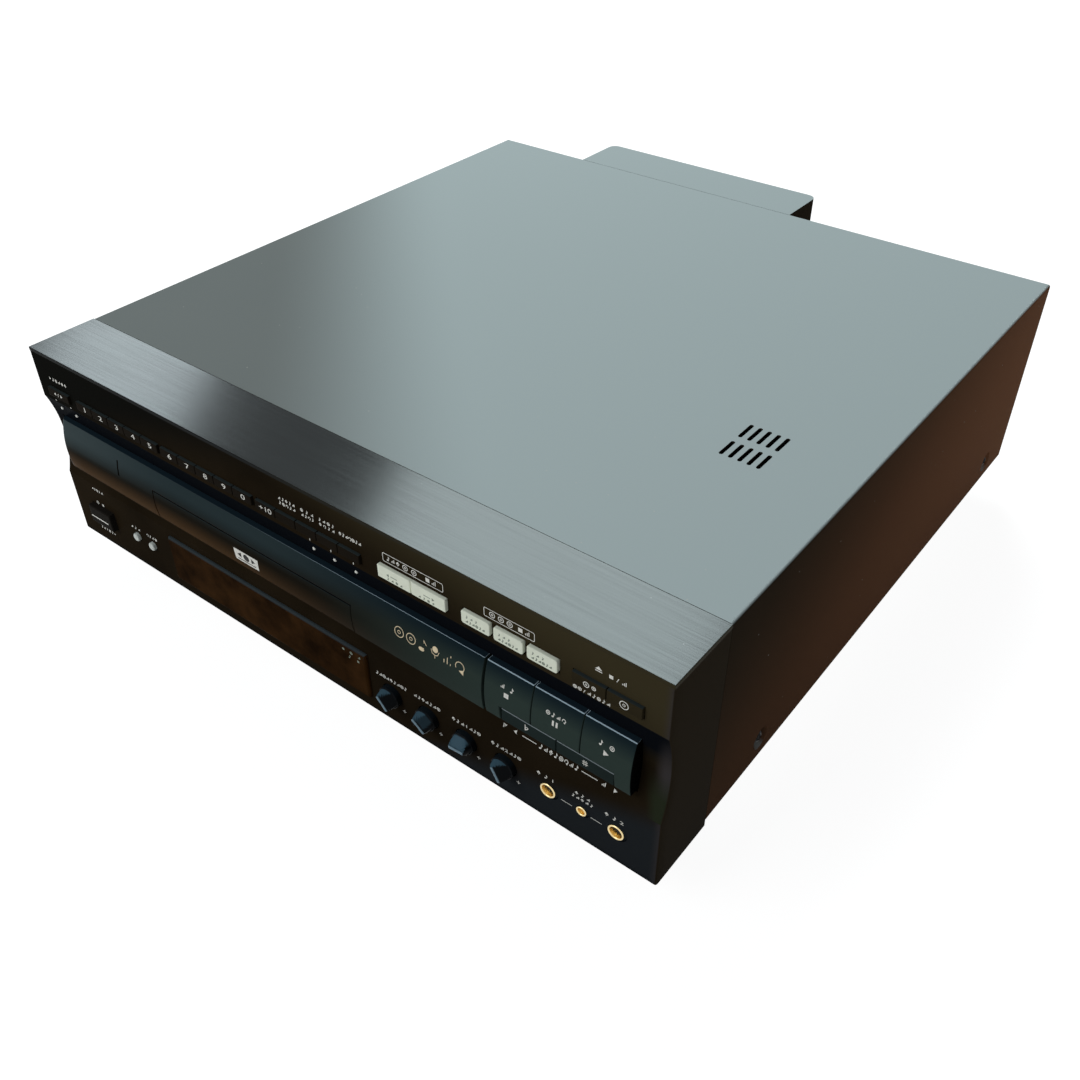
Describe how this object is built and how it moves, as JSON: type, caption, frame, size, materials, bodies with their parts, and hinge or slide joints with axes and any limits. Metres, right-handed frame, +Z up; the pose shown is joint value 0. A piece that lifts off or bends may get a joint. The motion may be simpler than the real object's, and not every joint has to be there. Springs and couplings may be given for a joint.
{
  "type": "disc player",
  "caption": "Front-loading player for large and small optical discs: long tray with a small tray inside, number keys, transport buttons, knobs and microphone sockets.",
  "frame": {"origin": "centre of the player's bounding box on the surface it stands on", "axes": "+X to the right seen from the front, +Y from front to back, +Z up"},
  "size_m": [0.42, 0.465, 0.144],
  "materials": {
    "bezel_black": "satin-gloss injection moulding",
    "brushed_trim": "dark anodised, brushed lengthwise",
    "cover_steel": "fine satin black paint on sheet steel",
    "zinc_steel": "zinc-plated sheet",
    "key_black": "satin",
    "key_pale": "pale grey-cream, satin",
    "front_blue_black": "satin blue-black",
    "knob_black": "satin",
    "smoked_window": "smoked clear acrylic",
    "display_glass": "fluorescent display envelope",
    "jack_gilt": "gilt rims",
    "foot_black": "moulded foot",
    "screw_black": "black-plated",
    "socket_black": "socket carriers",
    "tray_black": "fine-grained moulding",
    "gear_white": "acetal",
    "bright_steel": "ground steel",
    "pickup_black": "moulded carriage",
    "board_green": "solder-masked board",
    "transformer_iron": "varnished laminations"
  },
  "bodies": {
    "chassis": {"front_bezel": "bezel_black", "top_trim_strip": "brushed_trim", "top_cover": "cover_steel", "chassis_pan": "zinc_steel", "rear_panel": "zinc_steel", "rear_housing": "cover_steel", "feet": "foot_black", "case_screws": "screw_black", "display_window": "smoked_window", "display_module": "display_glass", "jacks": "jack_gilt", "rear_sockets": "socket_black", "tray_guides": "zinc_steel", "clamp_bridge": "zinc_steel", "circuit_boards": "board_green", "power_transformer": "transformer_iron"},
    "large_tray": {"large_tray": "tray_black", "large_tray_front": "front_blue_black"},
    "small_tray": {"small_tray": "tray_black", "small_tray_front": "front_blue_black"},
    "loading_gear": {"loading_gear": "gear_white"},
    "play_carriage": {"play_carriage": "zinc_steel", "sled_guide_rods": "bright_steel", "spindle_motor": "bright_steel"},
    "turntable": {"turntable": "bright_steel"},
    "pickup_sled": {"pickup_sled": "pickup_black"},
    "clamper": {"clamper": "gear_white"},
    "key_ab": {"key_ab": "key_black"},
    "key_1": {"key_1": "key_black"},
    "key_2": {"key_2": "key_black"},
    "key_3": {"key_3": "key_black"},
    "key_4": {"key_4": "key_black"},
    "key_5": {"key_5": "key_black"},
    "key_6": {"key_6": "key_black"},
    "key_7": {"key_7": "key_black"},
    "key_8": {"key_8": "key_black"},
    "key_9": {"key_9": "key_black"},
    "key_0": {"key_0": "key_black"},
    "key_plus_10": {"key_plus_10": "key_black"},
    "key_mode_1": {"key_mode_1": "key_black"},
    "key_mode_2": {"key_mode_2": "key_black"},
    "key_mode_3": {"key_mode_3": "key_black"},
    "key_mode_4": {"key_mode_4": "key_black"},
    "pale_key_left": {"pale_key_left": "key_pale"},
    "pale_key_middle": {"pale_key_middle": "key_pale"},
    "pale_key_right": {"pale_key_right": "key_pale"},
    "eject_key_small": {"eject_key_small": "key_black"},
    "eject_key_large": {"eject_key_large": "key_black"},
    "round_key_left": {"round_key_left": "key_pale"},
    "round_key_right": {"round_key_right": "key_pale"},
    "power_key": {"power_key": "key_black"},
    "stop_button": {"stop_button": "front_blue_black"},
    "pause_button": {"pause_button": "front_blue_black"},
    "play_button": {"play_button": "front_blue_black"},
    "pale_rocker": {"pale_rocker": "key_pale"},
    "pitch_rocker": {"pitch_rocker": "key_black"},
    "knob_1": {"knob_1": "knob_black"},
    "knob_2": {"knob_2": "knob_black"},
    "knob_3": {"knob_3": "knob_black"},
    "knob_4": {"knob_4": "knob_black"}
  },
  "joints": [
    {"name": "large_tray_slide", "type": "slide", "parent": "chassis", "child": "large_tray", "axis": [0, -1, 0], "range_m": [0, 0.3]},
    {"name": "small_tray_slide", "type": "slide", "parent": "large_tray", "child": "small_tray", "axis": [0, -1, 0], "range_m": [0, 0.225]},
    {"name": "loading_gear_spin", "type": "hinge", "parent": "chassis", "child": "loading_gear", "pos_m": [0.1312, -0.1885, 0.084], "axis": [0, 0, 1], "range_deg": [-2, 957]},
    {"name": "carriage_lift", "type": "slide", "parent": "chassis", "child": "play_carriage", "axis": [0, 0, 1], "range_m": [0, 0.0285]},
    {"name": "turntable_spin", "type": "hinge", "parent": "play_carriage", "child": "turntable", "pos_m": [-0.04275, -0.0585, 0.064], "axis": [0, 0, 1], "continuous": true},
    {"name": "pickup_travel", "type": "slide", "parent": "play_carriage", "child": "pickup_sled", "axis": [0, 1, 0], "range_m": [0, 0.12]},
    {"name": "clamper_spin", "type": "hinge", "parent": "chassis", "child": "clamper", "pos_m": [-0.04275, -0.0585, 0.104], "axis": [0, 0, 1], "continuous": true},
    {"name": "key_ab_press", "type": "slide", "parent": "chassis", "child": "key_ab", "axis": [0, 1, 0], "range_m": [0, 0.001], "stiffness_N_per_m": 250},
    {"name": "key_1_press", "type": "slide", "parent": "chassis", "child": "key_1", "axis": [0, 1, 0], "range_m": [0, 0.001], "stiffness_N_per_m": 250},
    {"name": "key_2_press", "type": "slide", "parent": "chassis", "child": "key_2", "axis": [0, 1, 0], "range_m": [0, 0.001], "stiffness_N_per_m": 250},
    {"name": "key_3_press", "type": "slide", "parent": "chassis", "child": "key_3", "axis": [0, 1, 0], "range_m": [0, 0.001], "stiffness_N_per_m": 250},
    {"name": "key_4_press", "type": "slide", "parent": "chassis", "child": "key_4", "axis": [0, 1, 0], "range_m": [0, 0.001], "stiffness_N_per_m": 250},
    {"name": "key_5_press", "type": "slide", "parent": "chassis", "child": "key_5", "axis": [0, 1, 0], "range_m": [0, 0.001], "stiffness_N_per_m": 250},
    {"name": "key_6_press", "type": "slide", "parent": "chassis", "child": "key_6", "axis": [0, 1, 0], "range_m": [0, 0.001], "stiffness_N_per_m": 250},
    {"name": "key_7_press", "type": "slide", "parent": "chassis", "child": "key_7", "axis": [0, 1, 0], "range_m": [0, 0.001], "stiffness_N_per_m": 250},
    {"name": "key_8_press", "type": "slide", "parent": "chassis", "child": "key_8", "axis": [0, 1, 0], "range_m": [0, 0.001], "stiffness_N_per_m": 250},
    {"name": "key_9_press", "type": "slide", "parent": "chassis", "child": "key_9", "axis": [0, 1, 0], "range_m": [0, 0.001], "stiffness_N_per_m": 250},
    {"name": "key_0_press", "type": "slide", "parent": "chassis", "child": "key_0", "axis": [0, 1, 0], "range_m": [0, 0.001], "stiffness_N_per_m": 250},
    {"name": "key_plus_10_press", "type": "slide", "parent": "chassis", "child": "key_plus_10", "axis": [0, 1, 0], "range_m": [0, 0.001], "stiffness_N_per_m": 250},
    {"name": "key_mode_1_press", "type": "slide", "parent": "chassis", "child": "key_mode_1", "axis": [0, 1, 0], "range_m": [0, 0.001], "stiffness_N_per_m": 250},
    {"name": "key_mode_2_press", "type": "slide", "parent": "chassis", "child": "key_mode_2", "axis": [0, 1, 0], "range_m": [0, 0.001], "stiffness_N_per_m": 250},
    {"name": "key_mode_3_press", "type": "slide", "parent": "chassis", "child": "key_mode_3", "axis": [0, 1, 0], "range_m": [0, 0.001], "stiffness_N_per_m": 250},
    {"name": "key_mode_4_press", "type": "slide", "parent": "chassis", "child": "key_mode_4", "axis": [0, 1, 0], "range_m": [0, 0.001], "stiffness_N_per_m": 250},
    {"name": "pale_key_left_press", "type": "slide", "parent": "chassis", "child": "pale_key_left", "axis": [0, 1, 0], "range_m": [0, 0.001], "stiffness_N_per_m": 250},
    {"name": "pale_key_middle_press", "type": "slide", "parent": "chassis", "child": "pale_key_middle", "axis": [0, 1, 0], "range_m": [0, 0.001], "stiffness_N_per_m": 250},
    {"name": "pale_key_right_press", "type": "slide", "parent": "chassis", "child": "pale_key_right", "axis": [0, 1, 0], "range_m": [0, 0.001], "stiffness_N_per_m": 250},
    {"name": "eject_key_small_press", "type": "slide", "parent": "chassis", "child": "eject_key_small", "axis": [0, 1, 0], "range_m": [0, 0.001], "stiffness_N_per_m": 250},
    {"name": "eject_key_large_press", "type": "slide", "parent": "chassis", "child": "eject_key_large", "axis": [0, 1, 0], "range_m": [0, 0.001], "stiffness_N_per_m": 250},
    {"name": "round_key_left_press", "type": "slide", "parent": "chassis", "child": "round_key_left", "axis": [0, 1, 0], "range_m": [0, 0.001], "stiffness_N_per_m": 250},
    {"name": "round_key_right_press", "type": "slide", "parent": "chassis", "child": "round_key_right", "axis": [0, 1, 0], "range_m": [0, 0.001], "stiffness_N_per_m": 250},
    {"name": "power_key_press", "type": "slide", "parent": "chassis", "child": "power_key", "axis": [0, 1, 0], "range_m": [0, 0.0015], "stiffness_N_per_m": 300},
    {"name": "stop_button_press", "type": "slide", "parent": "chassis", "child": "stop_button", "axis": [0, 1, 0], "range_m": [0, 0.0015], "stiffness_N_per_m": 400},
    {"name": "pause_button_press", "type": "slide", "parent": "chassis", "child": "pause_button", "axis": [0, 1, 0], "range_m": [0, 0.0015], "stiffness_N_per_m": 400},
    {"name": "play_button_press", "type": "slide", "parent": "chassis", "child": "play_button", "axis": [0, 1, 0], "range_m": [0, 0.0015], "stiffness_N_per_m": 400},
    {"name": "pale_rocker_tip", "type": "hinge", "parent": "chassis", "child": "pale_rocker", "pos_m": [0.07575, -0.22, 0.1213], "axis": [0, 0, 1], "range_deg": [-2, 2], "stiffness_Nm_per_rad": 0.05},
    {"name": "pitch_rocker_tip", "type": "hinge", "parent": "chassis", "child": "pitch_rocker", "pos_m": [0.1563, -0.2195, 0.0743], "axis": [0, 0, 1], "range_deg": [-1.8, 1.8], "stiffness_Nm_per_rad": 0.05},
    {"name": "knob_1_turn", "type": "hinge", "parent": "chassis", "child": "knob_1", "pos_m": [0.0535, -0.2245, 0.038], "axis": [0, 1, 0], "range_deg": [-190, 110]},
    {"name": "knob_2_turn", "type": "hinge", "parent": "chassis", "child": "knob_2", "pos_m": [0.0776, -0.2245, 0.038], "axis": [0, 1, 0], "range_deg": [-202, 98]},
    {"name": "knob_3_turn", "type": "hinge", "parent": "chassis", "child": "knob_3", "pos_m": [0.1017, -0.2245, 0.038], "axis": [0, 1, 0], "range_deg": [-245, 55]},
    {"name": "knob_4_turn", "type": "hinge", "parent": "chassis", "child": "knob_4", "pos_m": [0.1258, -0.2245, 0.038], "axis": [0, 1, 0], "range_deg": [-178, 122]}
  ],
  "couplings": [
    {"joint": "loading_gear_spin", "follows": "large_tray_slide", "rad_per_m": 55.556}
  ]
}
